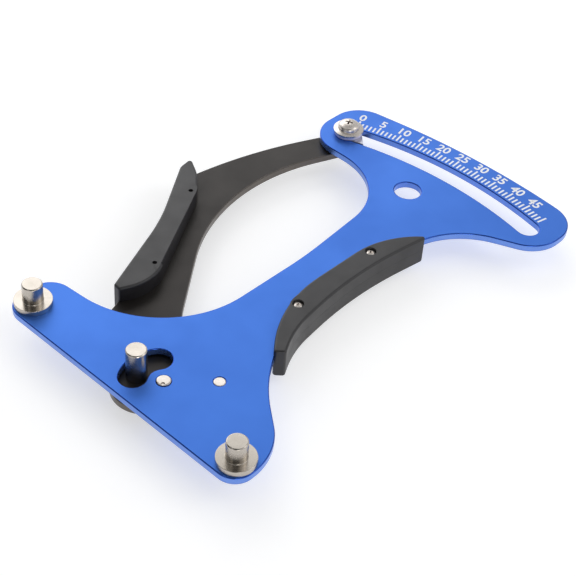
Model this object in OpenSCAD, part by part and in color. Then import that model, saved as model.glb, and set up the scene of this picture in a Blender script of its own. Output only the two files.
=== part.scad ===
// Spoke tension gauge: a flat frame with two fixed posts, and a sprung lever that carries the
// middle post and the pointer. Millimetres, +Z up, scale face up. Every size below is worked out
// from a datum midway between the two fixed posts, on the frame plate's top face. The finished
// model is then moved so that its origin is the middle of its footprint, on the bench.

/* [Gauge] */
// Distance between the axes of the two fixed posts
post_spacing = 108.2; // [100:0.1:116]
// Diameter of the three posts
post_d = 8; // [7:0.1:9]
// Height of the fixed posts above the frame plate
post_h = 10; // [8:0.1:12]
// Sweep of the lever, from the zero stop to fully squeezed
lever_sweep = 29; // [24:0.5:29]

/* [Frame plate] */
// Thickness of the frame plate
plate_t = 3.1; // [2.5:0.1:4]
// Half of the foot's length, from the datum to each rounded end
foot_half = 61.8; // [61:0.1:64]
// Distance from the posts' centre line down to the foot's straight edge
foot_drop = 8.4; // [8:0.1:9]
// Distance from the posts' centre line up to the highest point of the scale head
head_top = 197.7; // [196:0.1:200]
// Diameter of the hanging hole
hang_d = 11.4; // [10:0.1:12]

/* [Slots] */
// Mean radius of the pointer's slot, about the pivot
slot_r = 172.6; // [171:0.1:174]
// Width of the pointer's slot
slot_w = 9.7; // [9.5:0.1:10]
// Width of the kidney slot that the middle post moves in
kidney_w = 10.6; // [10:0.1:10.8]

/* [Lever] */
// Thickness of the lever plate
lever_t = 3.1; // [2.5:0.1:3.5]
// Gap between the frame plate and the lever, filled by the bushing's flange
lever_gap = 0.5; // [0.4:0.05:0.7]
// Radius of the lever's round hub
hub_r = 13.3; // [13:0.1:13.5]

/* [Grips] */
// Thickness of a grip's shallow shell, outside the plate that it covers
shell_thin = 2.9; // [2.8:0.1:3.2]
// Thickness of a grip's deep shell, outside the plate that it covers
shell_deep = 6.8; // [6:0.1:7]

/* [Return spring] */
// Diameter of the spring wire
wire_d = 1.3; // [1:0.1:1.4]
// Mean radius of the coils
coil_r = 6.2; // [6.1:0.05:6.3]
// Rise of one turn
coil_pitch = 1.4; // [1.4:0.05:1.5]

/* [Hidden] */
$fn = 64;

// Heights, measured from the plate's top face
plate_bottom = -plate_t;
lever_top = plate_bottom - lever_gap;
lever_bottom = lever_top - lever_t;
run = 0.02;                // running clearance, on the radius or between faces
cut = 1;                   // how far a cutter stands past the face it opens
post_r = post_d/2;

// Pivot of the lever, and what is placed about it by angle and radius
pivot = [9.3, 7.9];
function polar(r, a) = [r*cos(a), r*sin(a)];
middle_xy = pivot + polar(11.4, 196.2);
pointer_angle = 109.4;     // direction from the pivot to the pointer at rest
pointer_xy = pivot + polar(slot_r, pointer_angle);
block_nose = 9.4;          // from the pointer's screw to the tip of the slide block
nose_entry = 1.3;          // how far the tip may run into the slot's rounded end
slot_end_angle = pointer_angle - lever_sweep - asin((block_nose - nose_entry)/slot_r);
kidney_ends = [146.8, 216.5];
peg_reach = 20;            // both spring pegs stand this far from the pivot
frame_peg_angle = 46;
lever_peg_angle = 128;
frame_peg_xy = pivot + polar(peg_reach, frame_peg_angle);
lever_peg_xy = pivot + polar(peg_reach, lever_peg_angle);

// Pivot stack
shoulder_r = 3.5;
stub_r = 2.7;              // riveted end, which shows in the plate's face
stub_proud = 0.5;
bolt_head = [6.5, 1.8];    // radius and height
spool_r = 5;
spool_bottom = lever_bottom - 5.1;
bolt_bottom = spool_bottom - bolt_head[1];

// Fixed posts and their fastenings
flange = [7.4, 2.3];       // radius and height of the flange at a post's foot
spigot_r = 3;
tapped_r = 1.5;
post_thread = 5;           // how far a screw reaches up into a fixed post
middle_thread = 2;         // and into the middle post
washer = [5, 0.8];         // radius and thickness
pan_head = [3.5, 2.2];     // radius and height of the screws under the plates
post_xy = [[-post_spacing/2, 0], [post_spacing/2, 0]];
hang_xy = [-3.6, 158.8];

// Spring
peg_r = 2;
peg_stub_r = 2.25;         // pressed end of the frame's peg, flush with the plate's face
leg_offset = coil_r + peg_r + wire_d/2 + 2*run;
leg_turn = asin(leg_offset/peg_reach);
leg_start = lever_peg_angle - leg_turn + 90;
leg_end = frame_peg_angle + leg_turn - 90 + 3*360;
leg_past_peg = 2.5;
leg_length = sqrt(pow(peg_reach, 2) - pow(leg_offset, 2)) + leg_past_peg;
coil_top = lever_bottom - wire_d/2 - 0.15;
coil_bottom = coil_top - coil_pitch*(leg_end - leg_start)/360;

// Pointer
block_r = slot_w/2 - 0.3;
block_heel = 4.3;          // from the screw to the far end of the block's slanted face
block_top = 0.15;
arm_end_r = 6.6;           // round end of the lever under the block
pointer_disc = [6.1, 1.7]; // radius and thickness of the washer
screw_flange = [6.6, 1.1];
screw_dome = [4.7, 3];
screw_slot = [5.4, 1.1, 1.8];
screw_r = 2;
screw_past_nut = 0.4;
nut = [4.04, 3.2];         // corner radius and height of the hexagon

// Grip screws
frame_screw_xy = [[14.1, 114.6], [15.7, 71]];
lever_screw_xy = [[-61.6, 88.4], [-38.1, 46.9]];
recess = [2.3, 1.7];       // radius and depth of the recess over a screw's head
small_head_r = recess[0] - 0.1;
small_head_h = 1.3;
small_r = 1.4;
pilot_r = 0.95;
floor_t = 1;               // left under the screw holes of the deep shell
grip_thread = 5;           // how far a screw reaches into the deep shell on the lever

// Where the finished model stands: the middle of the footprint, on the bench
left_reach = 77.41;        // from the datum to the lever grip's tip
origin_shift = [(left_reach - foot_half)/2, -(head_top - foot_drop)/2, -bolt_bottom];

// ---- Outlines ----------------------------------------------------------------------------

// The point list that rounds the corner b, between a and c, with radius r
function unit(v) = v/norm(v);
function rounding(a, b, c, r) =
    let(u = unit(a - b), v = unit(c - b),
        half = acos(u*v)/2,
        centre = b + unit(u + v)*r/sin(half),
        start = atan2(b[1] + u[1]*r/tan(half) - centre[1], b[0] + u[0]*r/tan(half) - centre[0]),
        side = sign(u[0]*v[1] - u[1]*v[0]),
        sweep = -side*(180 - 2*half),
        steps = max(2, ceil(abs(sweep)*sqrt(r)/18)))
    [for (i = [0:steps]) centre + polar(r, start + sweep*i/steps)];

// A closed outline through corners given as [x, y, radius]
function xy(p) = [p[0], p[1]];
function rounded(p) =
    [for (i = [0:len(p) - 1])
        each rounding(xy(p[(i + len(p) - 1) % len(p)]), xy(p[i]), xy(p[(i + 1) % len(p)]), p[i][2])];

// Points along an arc about the pivot
function pivot_arc(r, from, to, steps) =
    [for (i = [0:steps]) pivot + polar(r, from + (to - from)*i/steps)];

// A slot about the pivot, with its two round ends
function slot_end(r, width, a, start) =
    [for (i = [1:11]) pivot + polar(r, a) + polar(width/2, start + 180*i/12)];
module curved_slot(r, width, from, to) {
    outer = pivot_arc(r + width/2, from, to, 30);
    inner = pivot_arc(r - width/2, to, from, 30);
    polygon(concat(outer, slot_end(r, width, to, to), inner, slot_end(r, width, from, from + 180)));
}

// The frame plate: a long foot, a slim neck and a wide head with a gently arched top edge
module frame_outline() {
    foot_right = [[-foot_half, -foot_drop, 8.5], [foot_half, -foot_drop, 8], [foot_half, 13.2, 26]];
    neck_right = [[19, 46.4, 70], [17.4, 100, 200], [23, 153, 34]];
    head = [[59.1, 169.4, 16], [59.1, head_top - 2.6, 14], [2.1, head_top + 2.7, 325],
            [-60.5, head_top - 7.9, 14], [-60.5, 156.8, 15]];
    neck_left = [[-9.7, 156.8, 31], [-3.9, 96, 200], [-4, 19.5, 44], [-foot_half, 15, 9.5]];
    polygon(rounded(concat(foot_right, neck_right, head, neck_left)));
}

// The lever plate: a hub about the post and the pivot, a curved arm and a small end
module lever_outline() {
    arm = [[-6, -4.6, 1], [4, 12, 1], [12.1, 14.9, 1], [-14.8, 39.3, 60], [-65.2, 105.4, 86],
           [-40.9, 169.4, 1], [-53, 173.2, 1], [-71.3, 130.7, 200], [-75.3, 100.1, 8],
           [-44.2, 49.8, 60], [-33, 16, 14]];
    polygon(rounded(arm));
    translate([2.8, 5.1]) circle(r = hub_r);
    translate(pointer_xy) circle(r = arm_end_r);
}

// The two grips in plan: crescents that swell towards the plate that each covers
module frame_grip_outline() {
    polygon(rounded([[27.6, 45.4, 1.2], [31, 48.6, 1.2], [24.4, 60, 50], [18.6, 101, 180],
                     [23.9, 139.6, 1], [10.3, 125.2, 40], [10.3, 65, 60]]));
}

module lever_grip_outline() {
    polygon(rounded([[-39.4, 27, 1.2], [-35.8, 26.6, 1.2], [-30, 39.7, 20], [-60.5, 91.2, 22],
                     [-68.4, 98.7, 26], [-77.8, 103.9, 1.2], [-76.6, 96.6, 5], [-56.3, 66.6, 110]]));
}

// ---- Helpers -----------------------------------------------------------------------------

// Puts a sub-part where the finished model stands
module place(c) {
    color(c) translate(origin_shift) children();
}

// A flat solid from one height to another
module slab(bottom, top) {
    translate([0, 0, bottom]) linear_extrude(top - bottom) children();
}

// A round bar or hole, standing at p from one height to another
module bar(p, r, bottom, top) {
    translate([p[0], p[1], bottom]) cylinder(r = r, h = top - bottom);
}

// A screw with a round head at one end of its shank
module screw(p, head_r, head_from, head_to, shank_r, shank_from, shank_to) {
    bar(p, head_r, head_from, head_to);
    bar(p, shank_r, shank_from, shank_to);
}

// ---- Frame -------------------------------------------------------------------------------

module frame_plate() {
    place("royalblue") difference() {
        slab(plate_bottom, 0) frame_outline();
        slab(plate_bottom - cut, cut) curved_slot(slot_r, slot_w, slot_end_angle, pointer_angle);
        slab(plate_bottom - cut, cut)
            curved_slot(norm(middle_xy - pivot), kidney_w, kidney_ends[0], kidney_ends[1]);
        bar(hang_xy, hang_d/2, plate_bottom - cut, cut);
        bar(pivot, stub_r, plate_bottom - cut, cut);
        bar(frame_peg_xy, peg_stub_r, plate_bottom - cut, cut);
        for (p = post_xy) bar(p, spigot_r, plate_bottom - cut, cut);
        for (p = frame_screw_xy) bar(p, small_r, plate_bottom - cut, cut);
    }
}

module fixed_post(p) {
    place("silver") difference() {
        union() {
            bar(p, post_r, 0, post_h);
            bar(p, flange[0], 0, flange[1]);
            bar(p, spigot_r, plate_bottom, 0);
        }
        bar(p, tapped_r, plate_bottom - cut, post_thread);
    }
}

module fixed_post_left() { fixed_post(post_xy[0]); }
module fixed_post_right() { fixed_post(post_xy[1]); }

module post_washers() {
    place("gainsboro") for (p = post_xy) difference() {
        bar(p, washer[0], plate_bottom - washer[1], plate_bottom);
        bar(p, tapped_r, plate_bottom - washer[1] - cut, plate_bottom + cut);
    }
}

module post_screws() {
    under = plate_bottom - washer[1];
    place("silver") for (p = post_xy)
        screw(p, pan_head[0], under - pan_head[1], under, tapped_r, under, post_thread);
}

module pivot_bolt() {
    place("silver") {
        bar(pivot, bolt_head[0], bolt_bottom, spool_bottom);
        bar(pivot, shoulder_r, spool_bottom, plate_bottom);
        bar(pivot, stub_r, plate_bottom, stub_proud);
    }
}

module spring_spool() {
    place("dimgray") difference() {
        bar(pivot, spool_r, spool_bottom, lever_bottom - 0.1);
        bar(pivot, shoulder_r, spool_bottom - cut, lever_bottom + cut);
    }
}

// The torsion spring: a straight leg, the coils and a second straight leg, swept as one wire
function coil_point(a) =
    let(share = (a - leg_start)/(leg_end - leg_start))
    concat(pivot + polar(coil_r, a), coil_bottom + (coil_top - coil_bottom)*share);
function spring_route() =
    let(turns = 44,
        first = coil_point(leg_start),
        last = coil_point(leg_end),
        out_a = polar(leg_length, leg_start - 90),
        out_b = polar(leg_length, leg_end + 90))
    concat([first + [out_a[0], out_a[1], 0]],
           [for (i = [0:turns]) coil_point(leg_start + (leg_end - leg_start)*i/turns)],
           [last + [out_b[0], out_b[1], 0]]);

module wire(route, r, sides) {
    count = len(route);
    rings = [for (i = [0:count - 1])
        let(t = unit(route[min(i + 1, count - 1)] - route[max(i - 1, 0)]),
            u = unit(cross(t, [0, 0, 1])),
            v = cross(u, t))
        each [for (k = [0:sides - 1]) route[i] + r*(cos(360*k/sides)*u + sin(360*k/sides)*v)]];
    skin = [for (i = [0:count - 2], k = [0:sides - 1])
        let(n = (k + 1) % sides)
        [i*sides + k, i*sides + n, (i + 1)*sides + n, (i + 1)*sides + k]];
    caps = [[for (k = [sides - 1:-1:0]) k], [for (k = [0:sides - 1]) (count - 1)*sides + k]];
    polyhedron(points = rings, faces = concat(skin, caps), convexity = 10);
}

module return_spring() {
    place("darkgray") wire(spring_route(), wire_d/2, 10);
}

module frame_spring_peg() {
    place("silver") {
        bar(frame_peg_xy, peg_stub_r, plate_bottom, 0);
        bar(frame_peg_xy, peg_r, coil_top - wire_d, plate_bottom);
    }
}

// Shallow shell on top, with a lip round the plate's edge and a recess over each screw
module frame_grip_upper() {
    place("dimgray") difference() {
        slab(plate_bottom, shell_thin) frame_grip_outline();
        slab(plate_bottom - cut, 0) frame_outline();
        for (p = frame_screw_xy) {
            bar(p, recess[0], shell_thin - recess[1], shell_thin + cut);
            bar(p, small_r, -cut, shell_thin);
        }
    }
}

module frame_grip_lower() {
    bottom = plate_bottom - shell_deep;
    place("dimgray") difference() {
        slab(bottom, plate_bottom) frame_grip_outline();
        for (p = frame_screw_xy) bar(p, small_r, bottom + floor_t, plate_bottom + cut);
    }
}

module frame_grip_screws() {
    seat = shell_thin - recess[1];
    tip = plate_bottom - shell_deep + floor_t;
    place("silver") for (p = frame_screw_xy)
        screw(p, small_head_r, seat, seat + small_head_h, small_r, tip, seat);
}

// ---- Lever -------------------------------------------------------------------------------

module lever_plate() {
    place("#4a4644") difference() {
        slab(lever_bottom, lever_top) lever_outline();
        bar(pivot, spool_r, lever_bottom - cut, lever_top + cut);
        bar(middle_xy, spigot_r, lever_bottom - cut, lever_top + cut);
        bar(lever_peg_xy, tapped_r, lever_bottom - cut, lever_top + cut);
        bar(pointer_xy, screw_r, lever_bottom - cut, lever_top + cut);
        for (p = lever_screw_xy) bar(p, small_r, lever_bottom - cut, lever_top + cut);
    }
}

// Flanged bushing in the hub; its flange keeps the lever off the frame plate
module lever_bushing() {
    place("black") difference() {
        union() {
            bar(pivot, spool_r, lever_bottom, lever_top);
            bar(pivot, spool_r + 1.5, lever_top, plate_bottom - run);
        }
        bar(pivot, shoulder_r + 1.5*run, lever_bottom - cut, lever_top + cut);
    }
}

module middle_post() {
    place("silver") difference() {
        union() {
            bar(middle_xy, post_r, lever_top, post_h + 0.1);
            bar(middle_xy, spigot_r, lever_bottom, lever_top);
        }
        bar(middle_xy, tapped_r, lever_bottom - cut, middle_thread);
    }
}

module middle_post_screw() {
    place("silver")
        screw(middle_xy, pan_head[0], lever_bottom - pan_head[1], lever_bottom,
              tapped_r, lever_bottom, middle_thread);
}

module lever_spring_peg() {
    place("silver")
        screw(lever_peg_xy, peg_r, coil_bottom - wire_d, lever_bottom, tapped_r, coil_bottom, lever_top);
}

// Deep shell on top, lying flat on the lever, with the screws' pilot holes right through it
module lever_grip_upper() {
    top = lever_top + shell_deep;
    place("dimgray") difference() {
        slab(lever_top, top) lever_grip_outline();
        for (p = lever_screw_xy) {
            bar(p, pilot_r, lever_top - cut, top + cut);
            bar(p, small_r, lever_top - cut, lever_top + grip_thread);
        }
    }
}

module lever_grip_lower() {
    bottom = lever_bottom - shell_thin;
    place("dimgray") difference() {
        slab(bottom, lever_top) lever_grip_outline();
        slab(lever_bottom, lever_top + cut) lever_outline();
        for (p = lever_screw_xy) {
            bar(p, recess[0], bottom - cut, bottom + recess[1]);
            bar(p, small_r, bottom, lever_bottom + cut);
        }
    }
}

module lever_grip_screws() {
    seat = lever_bottom - shell_thin + recess[1];
    place("silver") for (p = lever_screw_xy)
        screw(p, small_head_r, seat - small_head_h, seat, small_r, seat, lever_top + grip_thread);
}

// Slide block in the pointer's slot: round behind the screw, with a slanted face ahead of it
module pointer_block() {
    nose = pointer_angle - asin(block_nose/slot_r);
    heel = pointer_angle - asin(block_heel/slot_r);
    place("silver") difference() {
        slab(lever_top, block_top) {
            polygon(concat(pivot_arc(slot_r + block_r, heel, pointer_angle, 4),
                           pivot_arc(slot_r - block_r, pointer_angle, nose, 6)));
            translate(pointer_xy) circle(r = block_r);
        }
        bar(pointer_xy, screw_r, lever_top - cut, block_top + cut);
    }
}

module pointer_washer() {
    place("gainsboro") difference() {
        bar(pointer_xy, pointer_disc[0], block_top, block_top + pointer_disc[1]);
        bar(pointer_xy, screw_r, block_top - cut, block_top + pointer_disc[1] + cut);
    }
}

// Pan-head screw with a flange and a cross recess
module pointer_screw() {
    seat = block_top + pointer_disc[1];
    dome_seat = seat + screw_flange[1];
    dome_top = dome_seat + screw_dome[1];
    dome_r = (pow(screw_dome[0], 2) + pow(screw_dome[1], 2))/(2*screw_dome[1]);
    place("silver") difference() {
        union() {
            bar(pointer_xy, screw_flange[0], seat, dome_seat);
            bar(pointer_xy, screw_r, lever_bottom - nut[1] - screw_past_nut, seat);
            intersection() {
                bar(pointer_xy, screw_dome[0], dome_seat, dome_top);
                translate([pointer_xy[0], pointer_xy[1], dome_top - dome_r]) sphere(r = dome_r);
            }
        }
        for (turn = [20, 110])
            translate([pointer_xy[0], pointer_xy[1], dome_top - screw_slot[2]/2 + 0.2])
                rotate(turn) cube(screw_slot, center = true);
    }
}

module pointer_nut() {
    place("silver") difference() {
        translate([pointer_xy[0], pointer_xy[1], lever_bottom - nut[1]])
            cylinder(r = nut[0], h = nut[1], $fn = 6);
        bar(pointer_xy, screw_r, lever_bottom - nut[1] - cut, lever_bottom + cut);
    }
}

frame_plate();
fixed_post_left();
fixed_post_right();
post_washers();
post_screws();
pivot_bolt();
spring_spool();
return_spring();
frame_spring_peg();
frame_grip_upper();
frame_grip_lower();
frame_grip_screws();
lever_plate();
lever_bushing();
middle_post();
middle_post_screw();
lever_spring_peg();
lever_grip_upper();
lever_grip_lower();
lever_grip_screws();
pointer_block();
pointer_washer();
pointer_screw();
pointer_nut();
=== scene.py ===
"""Spoke tension gauge: detailed meshes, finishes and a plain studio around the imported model.

The gauge has a blue frame plate with two fixed posts and a printed scale, and a dark sprung lever
that carries the middle post and the pointer. Each class below builds one sub-assembly and dresses it.
Everything is in metres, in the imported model's own frame. Lengths are given in millimetres times MM.
"""

from __future__ import annotations

import logging
import math
from collections.abc import Callable, Iterator
from contextlib import contextmanager
from dataclasses import dataclass, field
from enum import Enum
from typing import Any

import bpy
from mathutils import Matrix, Quaternion, Vector


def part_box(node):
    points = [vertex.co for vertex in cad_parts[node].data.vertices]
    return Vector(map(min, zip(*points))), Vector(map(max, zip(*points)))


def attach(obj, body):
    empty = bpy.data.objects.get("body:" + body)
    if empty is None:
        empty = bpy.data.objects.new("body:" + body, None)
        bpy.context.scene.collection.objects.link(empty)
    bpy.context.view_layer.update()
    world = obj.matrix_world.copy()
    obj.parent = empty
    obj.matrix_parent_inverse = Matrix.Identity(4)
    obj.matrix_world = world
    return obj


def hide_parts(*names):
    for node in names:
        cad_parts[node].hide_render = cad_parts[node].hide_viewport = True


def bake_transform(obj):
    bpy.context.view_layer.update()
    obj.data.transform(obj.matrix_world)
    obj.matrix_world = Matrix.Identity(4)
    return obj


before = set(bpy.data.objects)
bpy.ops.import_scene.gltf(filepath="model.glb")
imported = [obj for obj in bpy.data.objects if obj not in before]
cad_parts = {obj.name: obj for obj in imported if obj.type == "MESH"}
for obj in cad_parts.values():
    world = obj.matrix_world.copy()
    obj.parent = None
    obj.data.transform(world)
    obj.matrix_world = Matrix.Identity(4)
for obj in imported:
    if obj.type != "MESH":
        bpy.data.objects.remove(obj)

MM = 0.001
# Points nearer than this are merged
MERGE_DISTANCE = 0.002 * MM
# Edges sharper than this are rounded, and edges flatter than the next one are shaded smooth
SHARP_ANGLE = math.radians(30)
SMOOTH_ANGLE = math.radians(40)
# Faces within this of one plane are joined up
FLAT_ANGLE = math.radians(0.3)
# Nearly all of a noise texture's values lie between these two
NOISE_LOW, NOISE_HIGH = 0.3, 0.7
LOG = logging.getLogger("gauge")

Profile = list[tuple[float, float]]


class Body(Enum):
    """The two bodies that pieces ride on."""

    FRAME = "frame"
    LEVER = "lever"


class Slot(Enum):
    """The record's material slots."""

    BLUE = "blue_anodised"
    DARK = "dark_anodised"
    POST = "polished_post"
    STEEL = "plated_steel"
    MACHINED = "machined_steel"
    WIRE = "spring_steel"
    ACETAL = "acetal"
    GRIP = "black_grip"


# ---- Finishes ------------------------------------------------------------------------------


def linear(hex_colour: str) -> tuple[float, float, float, float]:
    """Turns an sRGB hex colour into the linear values that a shader takes.

    Args:
        hex_colour: Six hex digits after a hash sign.

    Returns:
        Red, green, blue and an alpha of 1.
    """
    parts = [int(hex_colour[i : i + 2], 16) / 255 for i in (1, 3, 5)]
    red, green, blue = [p / 12.92 if p <= 0.04045 else ((p + 0.055) / 1.055) ** 2.4 for p in parts]
    return red, green, blue, 1.0


def add_node(
    tree: bpy.types.NodeTree,
    kind: str,
    inputs: dict[str | int, Any] | None = None,
    **settings: Any,
) -> bpy.types.Node:
    """Adds a node, sets its properties and fills or links its inputs.

    Args:
        tree: The material's node tree.
        kind: The node's type name.
        inputs: Socket name or number to a value, or to an output socket to link from.
        **settings: Properties of the node.

    Returns:
        The new node.
    """
    node = tree.nodes.new(kind)
    for name, value in settings.items():
        setattr(node, name, value)
    for socket, value in (inputs or {}).items():
        if isinstance(value, bpy.types.NodeSocket):
            tree.links.new(value, node.inputs[socket])
        else:
            node.inputs[socket].default_value = value
    return node


@dataclass(frozen=True)
class Finish:
    """A surface with a slightly uneven colour and gloss, and a fine raised grain.

    Colours are sRGB. Sizes are in millimetres.
    """

    name: str
    colour: str
    second_colour: str
    metallic: float
    roughness: tuple[float, float]
    patch: float = 14.0
    grain: float = 0.9
    grain_depth: float = 0.004
    grain_strength: float = 0.35
    ior: float = 1.5
    coat: float = 0.0

    def grain_height(self, tree: bpy.types.NodeTree, place: bpy.types.NodeSocket) -> bpy.types.NodeSocket:
        """Returns the height pattern of the surface's grain.

        Args:
            tree: The material's node tree.
            place: The Object coordinates.

        Returns:
            The output socket that holds the height, from 0 to 1.
        """
        scale = 1 / (self.grain * MM)
        inputs = {"Vector": place, "Scale": scale, "Detail": 2.0, "Roughness": 0.5}
        return add_node(tree, "ShaderNodeTexNoise", inputs).outputs["Fac"]

    def material(self) -> bpy.types.Material:
        """Builds the material, unless it is already built under this name.

        Returns:
            The material.
        """
        made = bpy.data.materials.get(self.name)
        if made is not None:
            return made
        made = bpy.data.materials.new(self.name)
        made.use_nodes = True
        tree = made.node_tree
        shader = tree.nodes["Principled BSDF"]
        place = add_node(tree, "ShaderNodeTexCoord").outputs["Object"]
        patches = add_node(
            tree,
            "ShaderNodeTexNoise",
            {"Vector": place, "Scale": 1 / (self.patch * MM), "Detail": 3.0, "Roughness": 0.55},
        ).outputs["Fac"]
        tone = add_node(tree, "ShaderNodeMix", {0: patches}, data_type="RGBA")
        tone.inputs[6].default_value = linear(self.colour)
        tone.inputs[7].default_value = linear(self.second_colour)
        smoothest, roughest = self.roughness
        gloss_inputs = {
            "Value": patches,
            "From Min": NOISE_LOW,
            "From Max": NOISE_HIGH,
            "To Min": smoothest,
            "To Max": roughest,
        }
        gloss = add_node(tree, "ShaderNodeMapRange", gloss_inputs)
        height = self.grain_height(tree, place)
        bump_inputs = {"Height": height, "Distance": self.grain_depth * MM, "Strength": self.grain_strength}
        bump = add_node(tree, "ShaderNodeBump", bump_inputs)
        tree.links.new(tone.outputs[2], shader.inputs["Base Color"])
        tree.links.new(gloss.outputs["Result"], shader.inputs["Roughness"])
        tree.links.new(bump.outputs["Normal"], shader.inputs["Normal"])
        shader.inputs["Metallic"].default_value = self.metallic
        if self.metallic < 1:
            shader.inputs["IOR"].default_value = self.ior
        shader.inputs["Coat Weight"].default_value = self.coat
        return made


@dataclass(frozen=True)
class TurnedFinish(Finish):
    """A finish with lathe marks: rings on faces square to the upright axis, grooves round its sides."""

    axis: tuple[float, float] = (0.0, 0.0)
    ring: float = 0.45
    groove: float = 0.22
    ring_share: float = 0.25

    def grain_height(self, tree: bpy.types.NodeTree, place: bpy.types.NodeSocket) -> bpy.types.NodeSocket:
        """Adds rings about the axis to level grooves, both broken up a little by noise.

        Args:
            tree: The material's node tree.
            place: The Object coordinates.

        Returns:
            The output socket that holds the height.
        """
        offset = (-self.axis[0], -self.axis[1], 0.0)
        centred = add_node(tree, "ShaderNodeMapping", {"Vector": place, "Location": offset}).outputs["Vector"]

        def wave(period: float, **settings: str) -> bpy.types.NodeSocket:
            """Adds a wave pattern.

            Args:
                period: Distance between two crests, in millimetres.
                **settings: The wave's type and direction.

            Returns:
                The output socket that holds the wave.
            """
            scale = math.tau / (20 * period * MM)
            inputs = {"Vector": centred, "Scale": scale, "Distortion": 0.8, "Detail": 2.0}
            return add_node(tree, "ShaderNodeTexWave", inputs, wave_profile="SIN", **settings).outputs["Fac"]

        rings = wave(self.ring, wave_type="RINGS", rings_direction="Z")
        grooves = wave(self.groove, wave_type="BANDS", bands_direction="Z")
        inputs = {0: rings, 1: self.ring_share, 2: grooves}
        return add_node(tree, "ShaderNodeMath", inputs, operation="MULTIPLY_ADD").outputs[0]


# Blue anodised aluminium: bead-blasted, so the reflection is soft and even, with faint cloudiness
# from the dye. The blast marks are drawn about four times their real size so that they show.
BLUE_ANODISED = Finish(
    "blue_anodised_aluminium", "#4a7eda", "#4577d0", 0.9, (0.46, 0.54), patch=26, grain=1.1, grain_depth=0.006
)
# Upright edges of the plate: glossier, and a lighter blue as painted light from the bright floor below
BLUE_EDGE_WITH_PAINTED_LIGHT = Finish(
    "blue_anodised_edge_painted_light",
    "#7499e6",
    "#6489da",
    0.8,
    (0.20, 0.28),
    patch=8,
    grain=0.7,
    grain_depth=0.004,
)
# Rounded rim between the two: glossy, and a deeper blue as painted shade, a dark line along the rim
BLUE_RIM_WITH_PAINTED_SHADE = Finish(
    "blue_anodised_rim_painted_shade",
    "#2f58b4",
    "#2a50a6",
    0.9,
    (0.14, 0.22),
    patch=8,
    grain=0.7,
    grain_depth=0.003,
)
# Dark hard-anodised aluminium: a warm near-black with a dull sheen, a little streaky
DARK_ANODISED = Finish(
    "dark_hard_anodised_aluminium", "#2f2b28", "#282523", 0.6, (0.38, 0.48), patch=16, grain=0.8
)
# Upright edges of the dark plate: a lighter grey as painted light from the bright floor below
DARK_EDGE_WITH_PAINTED_LIGHT = Finish(
    "dark_anodised_edge_painted_light",
    "#6f6963",
    "#5f5a55",
    0.8,
    (0.28, 0.38),
    patch=8,
    grain=0.7,
    grain_depth=0.004,
)
# Rounded rim of the dark plate: glossy, and a lighter grey as a painted highlight along the rim
DARK_RIM_WITH_PAINTED_HIGHLIGHT = Finish(
    "dark_anodised_rim_painted_highlight",
    "#5a5550",
    "#4d4844",
    0.8,
    (0.24, 0.32),
    patch=8,
    grain=0.7,
    grain_depth=0.003,
)
# Moulded ABS: black, with a fine spark-eroded texture that breaks the highlight into a satin band
BLACK_ABS = Finish(
    "moulded_black_abs",
    "#1c1a1c",
    "#181719",
    0.0,
    (0.38, 0.48),
    patch=9,
    grain=0.6,
    grain_depth=0.012,
    ior=1.53,
)
# Nickel plating on steel: warm grey-white, bright, with small uneven spots
PLATED_STEEL = Finish(
    "nickel_plated_steel", "#d6cfc8", "#c8c0b8", 1.0, (0.22, 0.32), patch=4, grain=0.5, grain_depth=0.002
)
# Milled steel: a cooler, lighter grey with a dull reflection
MILLED_STEEL = Finish(
    "milled_steel", "#cfcfd8", "#bcbcc8", 1.0, (0.32, 0.42), patch=5, grain=0.5, grain_depth=0.004
)
# Zinc plating with a clear passivation: a matt, slightly lilac white
ZINC_PLATE = Finish(
    "clear_zinc_plate", "#e0ddee", "#d0cde0", 0.7, (0.42, 0.52), patch=4, grain=0.5, grain_depth=0.003
)
# Hard-drawn spring wire: dark oiled steel with streaks along the draw
DRAWN_WIRE = Finish(
    "drawn_spring_wire", "#9a948c", "#7d766e", 1.0, (0.22, 0.34), patch=2.5, grain=0.3, grain_depth=0.002
)
# Turned acetal: a waxy black plastic
BLACK_ACETAL = Finish(
    "turned_black_acetal", "#1c1b1c", "#222022", 0.0, (0.34, 0.44), patch=6, grain=0.5, ior=1.48
)
# Screen-printed ink: opaque white, matt, a little thin in places
WHITE_INK = Finish(
    "screen_printed_white_ink", "#ffffff", "#f6f8ff", 0.0, (0.50, 0.60), patch=5, grain=0.4, grain_depth=0.002
)


def polished_nickel(name: str, axis: Vector) -> TurnedFinish:
    """Polished nickel plate over a turned post, with lathe rings that show on its flat top.

    Args:
        name: The post that wears it.
        axis: A point on the post's axis.

    Returns:
        The finish, centred on the post.
    """
    return TurnedFinish(
        f"polished_nickel_{name}",
        "#c2bbb2",
        "#b6afa5",
        1.0,
        (0.20, 0.27),
        patch=6,
        grain_depth=0.008,
        grain_strength=0.8,
        axis=(axis.x, axis.y),
    )


# ---- Modelling -----------------------------------------------------------------------------


def select_only(*pieces: bpy.types.Object) -> None:
    """Deselects everything, then selects some pieces and makes the first one active.

    Args:
        *pieces: The pieces to select.
    """
    bpy.ops.object.select_all(action="DESELECT")
    for piece in pieces:
        piece.select_set(True)
    bpy.context.view_layer.objects.active = pieces[0]


@contextmanager
def editing(piece: bpy.types.Object) -> Iterator[None]:
    """Holds a piece in edit mode with all of it selected, and leaves edit mode afterwards.

    Args:
        piece: The piece to edit.

    Yields:
        Nothing: the operators work on the selection.
    """
    select_only(piece)
    bpy.ops.object.mode_set(mode="EDIT")
    bpy.ops.mesh.select_all(action="SELECT")
    yield
    bpy.ops.object.mode_set(mode="OBJECT")


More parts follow.
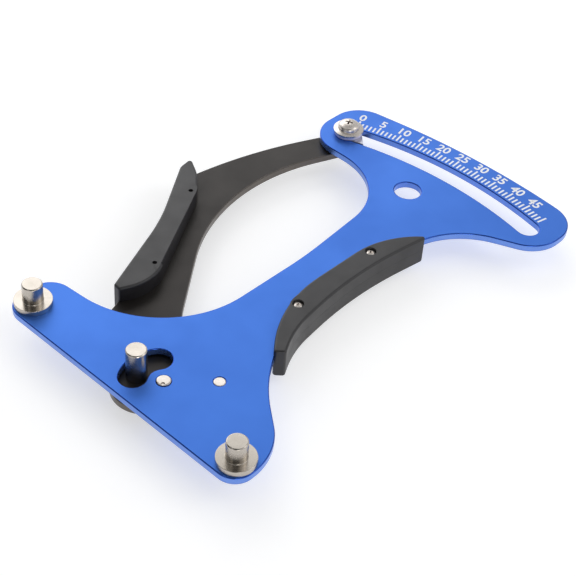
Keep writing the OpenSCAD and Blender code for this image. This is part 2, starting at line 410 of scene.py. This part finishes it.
def apply_modifier(piece: bpy.types.Object, kind: str, **settings: Any) -> None:
    """Adds a modifier, sets it and applies it.

    Args:
        piece: The piece to modify.
        kind: The modifier's type.
        **settings: Properties of the modifier.
    """
    select_only(piece)
    bpy.ops.object.modifier_add(type=kind)
    modifier = piece.modifiers[-1]
    for name, value in settings.items():
        setattr(modifier, name, value)
    bpy.ops.object.modifier_apply(modifier=modifier.name)


def round_edges(
    piece: bpy.types.Object, width: float, segments: int = 3, group: str = "", clamp: bool = True
) -> None:
    """Rounds a piece's sharp edges.

    Args:
        piece: The piece to round.
        width: Width of the rounding.
        segments: Number of faces across it.
        group: Vertex group that limits it, or empty for every edge sharper than 30 degrees.
        clamp: Whether the shortest edge may make the rounding narrower.
    """
    limits: dict[str, Any] = {"limit_method": "ANGLE", "angle_limit": SHARP_ANGLE}
    if group:
        limits = {"limit_method": "VGROUP", "vertex_group": group}
    apply_modifier(piece, "BEVEL", width=width, segments=segments, use_clamp_overlap=clamp, **limits)


def smooth(piece: bpy.types.Object) -> None:
    """Shades a piece smooth and lets its large flat faces keep their own direction.

    Args:
        piece: The piece to shade.
    """
    select_only(piece)
    bpy.ops.object.shade_smooth_by_angle(angle=SMOOTH_ANGLE)
    apply_modifier(piece, "WEIGHTED_NORMAL", weight=80, keep_sharp=True)


def close_up(piece: bpy.types.Object) -> None:
    """Merges doubled points and turns every face outwards.

    Args:
        piece: The piece to close.
    """
    with editing(piece):
        bpy.ops.mesh.remove_doubles(threshold=MERGE_DISTANCE)
        bpy.ops.mesh.normals_make_consistent(inside=False)


def settle(piece: bpy.types.Object) -> None:
    """Moves a piece's place from its object into its mesh."""
    select_only(piece)
    bpy.ops.object.transform_apply(location=True, rotation=True, scale=True)


def joined(pieces: list[bpy.types.Object], name: str) -> bpy.types.Object:
    """Joins pieces into one object.

    Args:
        pieces: The pieces to join.
        name: The joined piece's name.

    Returns:
        The joined piece.
    """
    select_only(*pieces)
    bpy.ops.object.join()
    whole = bpy.context.object
    whole.name = name
    return whole


def turned(name: str, axis: Vector, profile: Profile, segments: int = 64) -> bpy.types.Object:
    """Turns a round solid by extruding a disc ring by ring.

    Args:
        name: The piece's name.
        axis: A point on its upright axis.
        profile: Radius and height of each ring, from one end to the other.
        segments: Sides of the circle.

    Returns:
        The closed solid.
    """
    radius, height = profile[0]
    bpy.ops.mesh.primitive_circle_add(
        vertices=segments, radius=radius, fill_type="NGON", location=(axis.x, axis.y, height)
    )
    piece = bpy.context.object
    piece.name = name
    settle(piece)
    with editing(piece):
        for next_radius, next_height in profile[1:]:
            move = {"value": (0, 0, next_height - height)}
            bpy.ops.mesh.extrude_region_move(TRANSFORM_OT_translate=move)
            grow = next_radius / radius
            bpy.ops.transform.resize(value=(grow, grow, 1), center_override=(axis.x, axis.y, next_height))
            radius, height = next_radius, next_height
    close_up(piece)
    return piece


def turned_ring(name: str, axis: Vector, profile: Profile, segments: int = 64) -> bpy.types.Object:
    """Turns a ring with a bore by extruding a circle round a closed profile.

    Args:
        name: The piece's name.
        axis: A point on its upright axis.
        profile: Radius and height of each corner of the ring's section.
        segments: Sides of the circle.

    Returns:
        The closed ring.
    """
    radius, height = profile[0]
    bpy.ops.mesh.primitive_circle_add(
        vertices=segments, radius=radius, fill_type="NOTHING", location=(axis.x, axis.y, height)
    )
    piece = bpy.context.object
    piece.name = name
    settle(piece)
    with editing(piece):
        for next_radius, next_height in [*profile[1:], profile[0]]:
            move = {"value": (0, 0, next_height - height)}
            bpy.ops.mesh.extrude_edges_move(TRANSFORM_OT_translate=move)
            grow = next_radius / radius
            bpy.ops.transform.resize(value=(grow, grow, 1), center_override=(axis.x, axis.y, next_height))
            radius, height = next_radius, next_height
    close_up(piece)
    return piece


def node_copy(node: str, name: str) -> bpy.types.Object:
    """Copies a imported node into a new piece, with its doubled points merged and flat faces joined up.

    Args:
        node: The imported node.
        name: The new piece's name.

    Returns:
        The copy, which has a mesh of its own.
    """
    piece = bpy.data.objects.new(name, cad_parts[node].data.copy())
    bpy.context.scene.collection.objects.link(piece)
    piece.data.materials.clear()
    with editing(piece):
        bpy.ops.mesh.remove_doubles(threshold=MERGE_DISTANCE)
        bpy.ops.mesh.dissolve_limited(angle_limit=FLAT_ANGLE)
    return piece


def group_points(piece: bpy.types.Object, name: str, belongs: Callable[[Vector], bool]) -> None:
    """Puts the points that pass a test into a vertex group.

    Args:
        piece: The piece that holds the points.
        name: The group's name.
        belongs: Says whether a point is in the group.
    """
    chosen = [v.index for v in piece.data.vertices if belongs(v.co)]
    piece.vertex_groups.new(name=name).add(chosen, 1.0, "REPLACE")


def cross_recess(
    piece: bpy.types.Object,
    axis: Vector,
    top: float,
    direction: int,
    size: tuple[float, float, float],
    turn: float,
    taper: float = 0.45,
) -> None:
    """Cuts a tapered cross recess into the top of a screw's head.

    Args:
        piece: The screw.
        axis: A point on its axis.
        top: Height of the head's top.
        direction: 1 if the head faces up, -1 if it faces down.
        size: Length and width of each bar of the cross, and the recess's depth.
        turn: Angle of the cross about the axis, in degrees.
        taper: Size of the cross at the bottom, as a share of its size at the top.
    """
    length, width, depth = size
    centre = axis.xy
    for quarter in (0, 90):
        bpy.ops.mesh.primitive_cube_add(size=1, location=(axis.x, axis.y, top))
        cutter = bpy.context.object
        cutter.scale = (length, width, 2 * depth)
        cutter.rotation_euler = (0, 0, math.radians(turn + quarter))
        settle(cutter)
        for corner in cutter.data.vertices:
            if (corner.co.z - top) * direction < 0:
                corner.co.xy = centre + (corner.co.xy - centre) * taper
        apply_modifier(piece, "BOOLEAN", object=cutter, operation="DIFFERENCE", solver="EXACT")
        bpy.data.objects.remove(cutter)


def dress(piece: bpy.types.Object, finish: Finish, slot: Slot | None, body: Body, *nodes: str) -> None:
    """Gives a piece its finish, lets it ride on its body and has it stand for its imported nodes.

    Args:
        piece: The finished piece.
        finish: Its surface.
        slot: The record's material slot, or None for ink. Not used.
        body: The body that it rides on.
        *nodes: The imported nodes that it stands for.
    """
    piece.data.materials.clear()
    piece.data.materials.append(finish.material())
    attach(piece, body.value)
    if nodes:
        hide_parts(*nodes)
    LOG.info("%s: %d faces, on %s", piece.name, len(piece.data.polygons), body.value)


def middle(node: str) -> Vector:
    """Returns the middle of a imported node's box."""
    low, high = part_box(node)
    return (low + high) / 2


def ends(node: str, radius: float) -> list[Vector]:
    """Finds the axes of the two equal round pieces that a node holds.

    Args:
        node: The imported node.
        radius: Outer radius of each piece.

    Returns:
        A point on each axis, the one with the lower Y, or with the lower X on a level pair, first.
    """
    low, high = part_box(node)
    points = [v.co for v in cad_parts[node].data.vertices]
    level = (high.y - low.y) < 3 * radius
    coordinate = 0 if level else 1
    first_end, last_end = low[coordinate], high[coordinate]
    found = []
    for near in (first_end, last_end):
        own = [p for p in points if abs(p[coordinate] - near) < 2.1 * radius]
        xs, ys = [p.x for p in own], [p.y for p in own]
        found.append(Vector(((min(xs) + max(xs)) / 2, (min(ys) + max(ys)) / 2, 0)))
    return found


# ---- Sub-assemblies ------------------------------------------------------------------------


@dataclass
class Scale:
    """The printed scale: a tick for each unit and a number at every fifth tick but the last."""

    pivot: Vector
    face: float
    zero_angle: float = 108.9
    step: float = 0.619
    divisions: int = 50
    major: int = 5
    inner: float = 178.6 * MM
    short_outer: float = 182.0 * MM
    long_outer: float = 183.4 * MM
    tick_width: float = 0.8 * MM
    film: float = 0.03 * MM
    sunk: float = 0.02 * MM
    number_radius: float = 186.1 * MM
    number_size: float = 6.3 * MM
    stroke: float = 0.022
    edge_rounding: float = 0.01 * MM
    curve_steps: int = 6

    def spin(self, piece: bpy.types.Object, angle: float) -> None:
        """Turns a piece from the +Y side of the origin to its angle about the pivot."""
        turn = Matrix.Rotation(math.radians(angle - 90), 4, "Z")
        piece.data.transform(Matrix.Translation(self.pivot.xy.to_3d()) @ turn)

    def tick(self, index: int) -> bpy.types.Object:
        """Prints one tick.

        Args:
            index: Which tick, from 0.

        Returns:
            The tick in its place.
        """
        outer = self.short_outer if index % self.major else self.long_outer
        height = self.film + self.sunk
        centre = (0, (self.inner + outer) / 2, self.face - self.sunk + height / 2)
        bpy.ops.mesh.primitive_cube_add(size=1, location=centre)
        mark = bpy.context.object
        mark.scale = (self.tick_width, outer - self.inner, height)
        settle(mark)
        self.spin(mark, self.zero_angle - self.step * index)
        return mark

    def number(self, value: int) -> bpy.types.Object:
        """Prints one number.

        Args:
            value: The number at its tick.

        Returns:
            The number in its place, as a mesh.
        """
        half_height = (self.film + self.sunk) / 2
        bpy.ops.object.text_add(location=(0, self.number_radius, self.face - self.sunk))
        mark = bpy.context.object
        mark.data.body = str(value)
        mark.data.size = self.number_size
        mark.data.align_x = "CENTER"
        mark.data.align_y = "CENTER"
        mark.data.offset = self.stroke * self.number_size
        mark.data.extrude = half_height
        mark.data.resolution_u = self.curve_steps
        bpy.ops.object.convert(target="MESH")
        mark = bpy.context.object
        mark.location.z += half_height
        settle(mark)
        self.spin(mark, self.zero_angle - self.step * value)
        return mark

    def build(self) -> None:
        """Prints the ticks and the numbers."""
        ticks = joined([self.tick(i) for i in range(self.divisions + 1)], "scale_ticks")
        round_edges(ticks, self.edge_rounding, 1)
        numbers = joined([self.number(n) for n in range(0, self.divisions, self.major)], "scale_numbers")
        close_up(numbers)
        for marks in (ticks, numbers):
            dress(marks, WHITE_INK, None, Body.FRAME)


@dataclass
class Plate:
    """A flat plate with its rims rounded.

    A face rising less than `flat` is rim, one rising less than `upright` is edge; their colours are painted
    light and shade.
    """

    node: str
    name: str
    finish: Finish
    rim_finish: Finish
    edge_finish: Finish
    slot: Slot
    body: Body
    rim: float
    flat: float = 0.97
    upright: float = 0.2

    def build(self) -> None:
        """Copies the plate, rounds its rims, and finishes its faces and, with painted light and shade, its
        rims and edges.
        """
        plate = node_copy(self.node, self.name)
        round_edges(plate, self.rim, clamp=False)
        smooth(plate)
        dress(plate, self.finish, self.slot, self.body, self.node)
        plate.data.materials.append(self.rim_finish.material())
        plate.data.materials.append(self.edge_finish.material())
        # Rims and upright edges take the colours that paint in light and shade, chosen by how steep each face
        # is
        for face in plate.data.polygons:
            rise = abs(face.normal.z)
            face.material_index = int(rise < self.flat) + int(rise < self.upright)


@dataclass
class Post:
    """A turned post, with or without a flange at its foot."""

    node: str
    name: str
    body: Body
    foot: float
    radius: float = 4.0 * MM
    flange_radius: float = 7.4 * MM
    flange_height: float = 2.3 * MM
    spigot_radius: float = 2.95 * MM
    chamfer: float = 0.38 * MM
    rounding: float = 0.16 * MM
    sides: int = 96

    def build(self) -> None:
        """Turns the post, rounds its edges and polishes it."""
        low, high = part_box(self.node)
        axis = middle(self.node)
        profile: Profile = [(self.spigot_radius, low.z), (self.spigot_radius, self.foot)]
        has_flange = high.x - low.x > 3 * self.radius
        if has_flange:
            flange_top = self.foot + self.flange_height
            profile += [(self.flange_radius, self.foot), (self.flange_radius, flange_top)]
            profile += [(self.radius, flange_top)]
        else:
            profile += [(self.radius, self.foot)]
        profile += [(self.radius, high.z - self.chamfer), (self.radius - self.chamfer, high.z)]
        post = turned(self.name, axis, profile, self.sides)
        round_edges(post, self.rounding)
        smooth(post)
        dress(post, polished_nickel(self.name, axis), Slot.POST, self.body, self.node)


@dataclass
class CrossScrew:
    """A screw with a domed head and a cross recess.

    The head's upright wall is a share of its height, and the dome above it is turned in level rings.
    The flange, if there is one, is its radius and height, with a fillet up to the head.
    """

    head_radius: float
    head_height: float
    shank_radius: float
    recess: tuple[float, float, float]
    turn: float = 20.0
    flange: tuple[float, float] = (0.0, 0.0)
    rim: float = 0.12 * MM
    wall: float = 0.32
    point: float = 0.8
    fillet: float = 1.06
    dome_rings: int = 7
    dome_step: float = 13.0

    def make(self, name: str, axis: Vector, seat: float, tip: float) -> bpy.types.Object:
        """Turns one screw and cuts its recess.

        Args:
            name: The screw's name.
            axis: A point on its axis.
            seat: Height of the face that the head or its flange rests on.
            tip: Height of the shank's end.

        Returns:
            The screw, smoothed.
        """
        up = 1 if seat > tip else -1
        flange_radius, flange_height = self.flange
        base = seat + up * flange_height
        wall = self.wall * self.head_height
        rise = self.head_height - wall
        point = min(self.point * self.shank_radius, abs(seat - tip) / 3)
        profile: Profile = [(self.shank_radius - 0.5 * point, tip), (self.shank_radius, tip + up * point)]
        profile += [(self.shank_radius, seat)]
        if flange_radius:
            profile += [(flange_radius, seat), (flange_radius, seat + up * 0.6 * flange_height)]
            profile += [(self.fillet * self.head_radius, base), (self.head_radius, base)]
        else:
            profile += [(self.head_radius, seat)]
        for k in range(self.dome_rings):
            lift = math.radians(self.dome_step * k)
            height = base + up * (wall + rise * math.sin(lift))
            profile.append((self.head_radius * math.cos(lift), height))
        top = base + up * self.head_height
        profile.append((0.1 * self.head_radius, top))
        screw = turned(name, axis, profile)
        cross_recess(screw, axis, top, up, self.recess, self.turn)
        round_edges(screw, self.rim, 2)
        smooth(screw)
        return screw


@dataclass
class Fastenings:
    """The washers and screws under the posts, and the screws that hold the grips."""

    pan: CrossScrew = field(
        default_factory=lambda: CrossScrew(3.5 * MM, 2.2 * MM, 1.5 * MM, (3.6 * MM, 0.8 * MM, 1.3 * MM))
    )
    small: CrossScrew = field(
        default_factory=lambda: CrossScrew(
            2.2 * MM, 1.3 * MM, 1.38 * MM, (3.0 * MM, 0.9 * MM, 1.0 * MM), turn=35, rim=0.08 * MM, wall=0.08
        )
    )
    washer_radius: float = 5.0 * MM
    washer_bore: float = 1.55 * MM
    washer_rounding: float = 0.15 * MM

    def under_posts(self) -> None:
        """Makes the washers and screws that hold the three posts from below."""
        low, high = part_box("post_washers")
        axes = ends("post_washers", self.washer_radius)
        section: Profile = [
            (self.washer_bore, low.z),
            (self.washer_radius, low.z),
            (self.washer_radius, high.z),
            (self.washer_bore, high.z),
        ]
        washers = joined([turned_ring("washer", a, section) for a in axes], "washers_under_posts")
        round_edges(washers, self.washer_rounding, 2)
        smooth(washers)
        dress(washers, PLATED_STEEL, Slot.STEEL, Body.FRAME, "post_washers")
        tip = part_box("post_screws")[1].z
        screws = [self.pan.make("post_screw", a, low.z, tip) for a in axes]
        dress(joined(screws, "screws_under_posts"), PLATED_STEEL, Slot.STEEL, Body.FRAME, "post_screws")
        low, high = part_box("middle_post_screw")
        seat = low.z + self.pan.head_height
        screw = self.pan.make("screw_under_middle_post", middle("middle_post_screw"), seat, high.z)
        dress(screw, PLATED_STEEL, Slot.STEEL, Body.LEVER, "middle_post_screw")

    def in_grips(self) -> None:
        """Makes the two screws of each grip: the frame's go in from above, the lever's from below."""
        height = self.small.head_height
        for body, node in ((Body.FRAME, "frame_grip_screws"), (Body.LEVER, "lever_grip_screws")):
            low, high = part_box(node)
            seat, tip = (high.z - height, low.z) if body is Body.FRAME else (low.z + height, high.z)
            axes = ends(node, self.small.head_radius)
            screws = [self.small.make("grip_screw", a, seat, tip) for a in axes]
            pair = joined(screws, f"screws_of_{body.value}_grip")
            dress(pair, PLATED_STEEL, Slot.STEEL, body, node)

    def build(self) -> None:
        """Makes every fastening in this group."""
        self.under_posts()
        self.in_grips()


@dataclass
class Grip:
    """One moulded shell of a hand grip."""

    node: str
    name: str
    body: Body
    outer_up: bool
    crown: float = 0.95 * MM
    parting: float = 0.22 * MM
    screw_radius: float = 2.2 * MM
    recess_reach: float = 3.2 * MM
    face_depth: float = 0.05 * MM

    def build(self) -> None:
        """Copies the shell, rounds its outer rim well and its parting edges a little."""
        low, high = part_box(self.node)
        shell = node_copy(self.node, self.name)
        outer = high.z if self.outer_up else low.z
        screws = ends(f"{self.body.value}_grip_screws", self.screw_radius)

        def on_rim(point: Vector) -> bool:
            """Says whether a point is on the outer face and clear of the screws' recesses."""
            clear = all((point.xy - screw.xy).length > self.recess_reach for screw in screws)
            return clear and abs(point.z - outer) < self.face_depth

        group_points(shell, "rim", on_rim)
        round_edges(shell, self.crown, 4, "rim", clamp=False)
        round_edges(shell, self.parting, 2)
        smooth(shell)
        dress(shell, BLACK_ABS, Slot.GRIP, self.body, self.node)


@dataclass
class PivotStack:
    """The bolt that the lever turns on, with its bushing, spool, spring and the spring's two pegs."""

    head_radius: float = 6.5 * MM
    head_height: float = 1.8 * MM
    shoulder: float = 3.5 * MM
    stub_radius: float = 2.68 * MM
    bushing_radius: float = 4.95 * MM
    flange_radius: float = 6.5 * MM
    bore_gap: float = 0.03 * MM
    spool_radius: float = 5.0 * MM
    wire_radius: float = 0.65 * MM
    coil_radius: float = 6.2 * MM
    peg_radius: float = 2.0 * MM
    leg_past_peg: float = 2.5 * MM
    leg_gap: float = 0.05 * MM
    coils: int = 3
    steps_a_coil: int = 44
    slot_width: float = 1.3 * MM
    slot_depth: float = 0.9 * MM
    slot_turn: float = 30.0
    dimple_radius: float = 0.75 * MM
    dimple_depth: float = 0.45 * MM
    dimple_place: tuple[float, float] = (1.1 * MM, -1.45 * MM)
    rivet_crown: float = 0.22 * MM
    peg_chamfer: float = 0.25 * MM
    peg_shank: float = 1.45 * MM
    peg_crown: tuple[float, float] = (0.3 * MM, 0.12 * MM)
    peg_rounding: float = 0.08 * MM
    rounding: float = 0.12 * MM

    def bolt(self) -> None:
        """Turns the bolt, with a slot in its head and a punched dimple in its riveted end."""
        low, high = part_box("pivot_bolt")
        axis = middle("pivot_bolt")
        plate_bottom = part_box("frame_plate")[0].z
        neck = low.z + self.head_height
        profile: Profile = [
            (0.82 * self.head_radius, low.z),
            (self.head_radius, low.z + 0.3 * self.head_height),
            (self.head_radius, neck),
            (self.shoulder, neck),
            (self.shoulder, plate_bottom),
            (self.stub_radius, plate_bottom),
            (self.stub_radius, high.z - self.rivet_crown),
            (0.8 * self.stub_radius, high.z),
        ]
        bolt = turned("bolt_of_pivot", axis, profile)
        bpy.ops.mesh.primitive_cube_add(size=1, location=(axis.x, axis.y, low.z))
        slot_cutter = bpy.context.object
        slot_cutter.scale = (3 * self.head_radius, self.slot_width, 2 * self.slot_depth)
        slot_cutter.rotation_euler = (0, 0, math.radians(self.slot_turn))
        dimple_x, dimple_y = self.dimple_place
        bpy.ops.mesh.primitive_cylinder_add(
            vertices=24,
            radius=self.dimple_radius,
            depth=2 * self.dimple_depth,
            location=(axis.x + dimple_x, axis.y + dimple_y, high.z),
        )
        dimple_cutter = bpy.context.object
        for cutter in (slot_cutter, dimple_cutter):
            settle(cutter)
            apply_modifier(bolt, "BOOLEAN", object=cutter, operation="DIFFERENCE", solver="EXACT")
            bpy.data.objects.remove(cutter)
        round_edges(bolt, self.rounding, 2)
        smooth(bolt)
        dress(bolt, PLATED_STEEL, Slot.STEEL, Body.FRAME, "pivot_bolt")

    def rings(self) -> None:
        """Turns the spring's spool and the lever's flanged bushing."""
        axis = middle("pivot_bolt")
        low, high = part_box("spring_spool")
        bore = self.shoulder + self.bore_gap
        spool = turned_ring(
            "spool_of_spring",
            axis,
            [(bore, low.z), (self.spool_radius, low.z), (self.spool_radius, high.z), (bore, high.z)],
        )
        low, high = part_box("lever_bushing")
        lever_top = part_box("lever_plate")[1].z
        bushing = turned_ring(
            "bushing_of_lever",
            axis,
            [
                (bore, low.z),
                (self.bushing_radius, low.z),
                (self.bushing_radius, lever_top),
                (self.flange_radius, lever_top),
                (self.flange_radius, high.z),
                (bore, high.z),
            ],
        )
        for ring, body, node in ((spool, Body.FRAME, "spring_spool"), (bushing, Body.LEVER, "lever_bushing")):
            round_edges(ring, self.rounding, 2)
            smooth(ring)
            dress(ring, BLACK_ACETAL, Slot.ACETAL, body, node)

    def pegs(self) -> None:
        """Turns the two pegs that the spring's legs push on."""
        for node, name, body in (
            ("frame_spring_peg", "peg_on_frame", Body.FRAME),
            ("lever_spring_peg", "peg_on_lever", Body.LEVER),
        ):
            low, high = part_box(node)
            plate_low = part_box(f"{body.value}_plate")[0].z
            shank = (high.x - low.x) / 2 if body is Body.FRAME else self.peg_shank
            crown_width, crown_height = self.peg_crown
            profile: Profile = [
                (self.peg_radius - self.peg_chamfer, low.z),
                (self.peg_radius, low.z + self.peg_chamfer),
                (self.peg_radius, plate_low),
                (shank, plate_low),
                (shank, high.z - crown_height),
                (shank - crown_width, high.z),
            ]
            peg = turned(name, middle(node), profile, 48)
            round_edges(peg, self.peg_rounding, 2)
            smooth(peg)
            dress(peg, PLATED_STEEL, Slot.STEEL, body, node)

    def spring(self) -> None:
        """Winds the torsion spring, with a straight leg to each peg."""
        axis = middle("pivot_bolt").xy
        low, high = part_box("return_spring")
        top, bottom = high.z - self.wire_radius, low.z + self.wire_radius
        contact = self.coil_radius + self.peg_radius + self.wire_radius + self.leg_gap

        def leg(node: str, side: int) -> tuple[float, float]:
            """Finds the straight leg that leaves the coil on a tangent and passes a peg.

            Args:
                node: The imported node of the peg.
                side: 1 for the end of the coil, -1 for its start.

            Returns:
                The angle where the leg leaves the coil, in radians, and the leg's length.
            """
            arm = middle(node).xy - axis
            angle = math.atan2(arm.y, arm.x) + side * (math.asin(contact / arm.length) - math.pi / 2)
            return angle, math.sqrt(arm.length**2 - contact**2) + self.leg_past_peg

        start, start_leg = leg("lever_spring_peg", -1)
        finish, finish_leg = leg("frame_spring_peg", 1)
        finish += self.coils * math.tau
        steps = self.coils * self.steps_a_coil

        def on_coil(angle: float, share: float) -> Vector:
            """Returns the wire's centre at an angle, at a share of the way up the coil."""
            flat = axis + self.coil_radius * Vector((math.cos(angle), math.sin(angle)))
            return Vector((flat.x, flat.y, bottom + (top - bottom) * share))

        route = [on_coil(start + (finish - start) * i / steps, i / steps) for i in range(steps + 1)]
        for angle, length, side in ((start, start_leg, -1), (finish, finish_leg, 1)):
            outward = side * Vector((-math.sin(angle), math.cos(angle), 0))
            origin = route[0] if side < 0 else route[-1]
            run = [origin + outward * length * k / 6 for k in range(1, 7)]
            route = run[::-1] + route if side < 0 else route + run
        curve = bpy.data.curves.new("spring_wire", "CURVE")
        curve.dimensions = "3D"
        curve.bevel_depth = self.wire_radius
        curve.bevel_resolution = 5
        curve.use_fill_caps = True
        spline = curve.splines.new("POLY")
        spline.points.add(len(route) - 1)
        for point, place in zip(spline.points, route):
            point.co = (*place, 1.0)
        wire = bpy.data.objects.new("torsion_spring", curve)
        bpy.context.scene.collection.objects.link(wire)
        select_only(wire)
        bpy.ops.object.convert(target="MESH")
        wire = bpy.context.object
        close_up(wire)
        select_only(wire)
        bpy.ops.object.shade_smooth_by_angle(angle=SMOOTH_ANGLE)
        wire.data.materials.clear()
        wire.data.materials.append(DRAWN_WIRE.material())
        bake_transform(wire)
        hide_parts("return_spring")
        LOG.info("%s: %d faces, wound between frame and lever", wire.name, len(wire.data.polygons))

    def build(self) -> None:
        """Makes every piece of the pivot."""
        self.bolt()
        self.rings()
        self.pegs()
        self.spring()


@dataclass
class Pointer:
    """The slide block, washer, screw and nut at the end of the lever."""

    flange: tuple[float, float] = (6.6 * MM, 1.1 * MM)
    head_radius: float = 4.7 * MM
    head_height: float = 3.0 * MM
    shank_radius: float = 1.98 * MM
    recess: tuple[float, float, float] = (5.2 * MM, 1.15 * MM, 1.7 * MM)
    rim: float = 0.18 * MM

    def build(self) -> None:
        """Makes the four pieces from the bottom up."""
        for node, name, finish, slot, rim in (
            ("pointer_nut", "nut_of_pointer", PLATED_STEEL, Slot.STEEL, 0.25 * MM),
            ("pointer_block", "block_of_pointer", MILLED_STEEL, Slot.MACHINED, 0.2 * MM),
            ("pointer_washer", "washer_of_pointer", ZINC_PLATE, Slot.STEEL, 0.3 * MM),
        ):
            piece = node_copy(node, name)
            round_edges(piece, rim)
            smooth(piece)
            dress(piece, finish, slot, Body.LEVER, node)
        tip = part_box("pointer_screw")[0].z
        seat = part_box("pointer_washer")[1].z
        maker = CrossScrew(
            self.head_radius,
            self.head_height,
            self.shank_radius,
            self.recess,
            flange=self.flange,
            rim=self.rim,
        )
        screw = maker.make("screw_of_pointer", middle("pointer_screw"), seat, tip)
        dress(screw, PLATED_STEEL, Slot.STEEL, Body.LEVER, "pointer_screw")


# ---- Studio --------------------------------------------------------------------------------


def matt_paint(piece: bpy.types.Object, name: str, colour: str) -> bpy.types.Node:
    """Paints a studio piece matt.

    Args:
        piece: The floor or a card.
        name: The paint's name.
        colour: Its sRGB colour.

    Returns:
        The paint's shader.
    """
    paint = bpy.data.materials.new(name)
    paint.use_nodes = True
    shader = paint.node_tree.nodes["Principled BSDF"]
    shader.inputs["Base Color"].default_value = linear(colour)
    shader.inputs["Roughness"].default_value = 0.9
    piece.data.materials.append(paint)
    return shader


@dataclass
class Studio:
    """The camera, a pale floor and soft light from large lamps."""

    place: tuple[float, float, float] = (290.705 * MM, -339.99 * MM, 390.13 * MM)
    azimuth: float = 40.78
    elevation: float = 41.5
    roll: float = 4.38
    lens: float = 92.07
    sensor: float = 36.0
    floor_glow: float = 0.55
    room_light: float = 0.78

    def camera(self) -> None:
        """Sets the camera above the frame grip's side, looking down across the scale face."""
        turn, tilt = math.radians(self.azimuth), math.radians(self.elevation)
        gaze = Vector((-math.sin(turn) * math.cos(tilt), math.cos(turn) * math.cos(tilt), -math.sin(tilt)))
        level = gaze.to_track_quat("-Z", "Y")
        bpy.ops.object.camera_add(location=self.place)
        camera = bpy.context.object
        camera.rotation_euler = (level @ Quaternion((0, 0, 1), math.radians(self.roll))).to_euler()
        camera.data.lens = self.lens
        camera.data.sensor_width = self.sensor
        camera.data.clip_start = 0.01
        bpy.context.scene.camera = camera

    def floor(self) -> None:
        """Lays a large pale floor that glows a little, like the top of a light table."""
        bpy.ops.mesh.primitive_plane_add(size=8, location=(0, 0, -0.1 * MM))
        floor = bpy.context.object
        floor.name = "studio_floor"
        shader = matt_paint(floor, "floor_paint", "#d0d0d0")
        shader.inputs["Specular IOR Level"].default_value = 0.1
        shader.inputs["Emission Color"].default_value = linear("#ffffff")
        shader.inputs["Emission Strength"].default_value = self.floor_glow

    def card(self, name: str, place: tuple[float, float, float], size: float, colour: str) -> None:
        """Hangs a card that faces the origin, for the polished metal to reflect.

        Args:
            name: The card's name.
            place: Where it hangs, in metres.
            size: Length of its side.
            colour: Its sRGB colour.
        """
        bpy.ops.mesh.primitive_plane_add(size=size, location=place)
        card = bpy.context.object
        card.name = name
        card.rotation_euler = Vector(place).to_track_quat("Z", "Y").to_euler()
        card.visible_camera = False
        matt_paint(card, f"{name}_paint", colour)

    def lamp(self, name: str, place: tuple[float, float, float], size: float, power: float) -> None:
        """Hangs one large square lamp that faces the origin.

        Args:
            name: The lamp's name.
            place: Where it hangs, in metres.
            size: Length of its side.
            power: Its power in watts.
        """
        bpy.ops.object.light_add(type="AREA", location=place)
        lamp = bpy.context.object
        lamp.name = name
        lamp.data.shape = "SQUARE"
        lamp.data.size = size
        lamp.data.energy = power
        lamp.rotation_euler = Vector(place).to_track_quat("Z", "Y").to_euler()

    def light(self) -> None:
        """Lights the object from above and from both sides, inside a pale room."""
        self.lamp("key_lamp", (-1.8, 0.9, 1.25), 2.2, 22)
        self.lamp("fill_lamp", (1.1, 0.9, 1.2), 0.9, 4)
        self.lamp("low_lamp", (0.95, -0.6, 0.22), 0.4, 2.5)
        world = bpy.data.worlds.new("pale_room")
        world.use_nodes = True
        background = world.node_tree.nodes["Background"]
        background.inputs["Color"].default_value = linear("#f4f5f7")
        background.inputs["Strength"].default_value = self.room_light
        bpy.context.scene.world = world
        bpy.context.scene.view_settings.view_transform = "Standard"

    def build(self) -> None:
        """Sets up the studio."""
        self.camera()
        self.floor()
        self.card("card_behind_camera", (0.54, -0.64, 0.8), 1.0, "#1a1a1a")
        self.card("card_in_front", (-0.55, -0.95, 0.55), 1.0, "#1a1a1a")
        self.card("card_overhead", (-0.3, 0.3, 1.2), 0.9, "#b4b4b4")
        self.light()


def main() -> None:
    """Builds the studio and the gauge."""
    logging.basicConfig(level=logging.INFO, format="%(message)s")
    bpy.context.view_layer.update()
    Studio().build()
    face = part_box("frame_plate")[1].z
    lever_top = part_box("lever_plate")[1].z
    # The plates' rim and edge finishes paint light and shade onto their rims and sides
    Plate(
        "frame_plate",
        "plate_of_frame",
        BLUE_ANODISED,
        BLUE_RIM_WITH_PAINTED_SHADE,
        BLUE_EDGE_WITH_PAINTED_LIGHT,
        Slot.BLUE,
        Body.FRAME,
        rim=0.42 * MM,
    ).build()
    Plate(
        "lever_plate",
        "plate_of_lever",
        DARK_ANODISED,
        DARK_RIM_WITH_PAINTED_HIGHLIGHT,
        DARK_EDGE_WITH_PAINTED_LIGHT,
        Slot.DARK,
        Body.LEVER,
        rim=0.35 * MM,
    ).build()
    Scale(middle("pivot_bolt"), face).build()
    Post("fixed_post_left", "left_post", Body.FRAME, face).build()
    Post("fixed_post_right", "right_post", Body.FRAME, face).build()
    Post("middle_post", "centre_post", Body.LEVER, lever_top).build()
    Grip("frame_grip_upper", "top_shell_of_frame_grip", Body.FRAME, outer_up=True).build()
    Grip("frame_grip_lower", "bottom_shell_of_frame_grip", Body.FRAME, outer_up=False).build()
    Grip("lever_grip_upper", "top_shell_of_lever_grip", Body.LEVER, outer_up=True).build()
    Grip("lever_grip_lower", "bottom_shell_of_lever_grip", Body.LEVER, outer_up=False).build()
    Fastenings().build()
    PivotStack().build()
    Pointer().build()


if __name__ == "__main__":
    main()
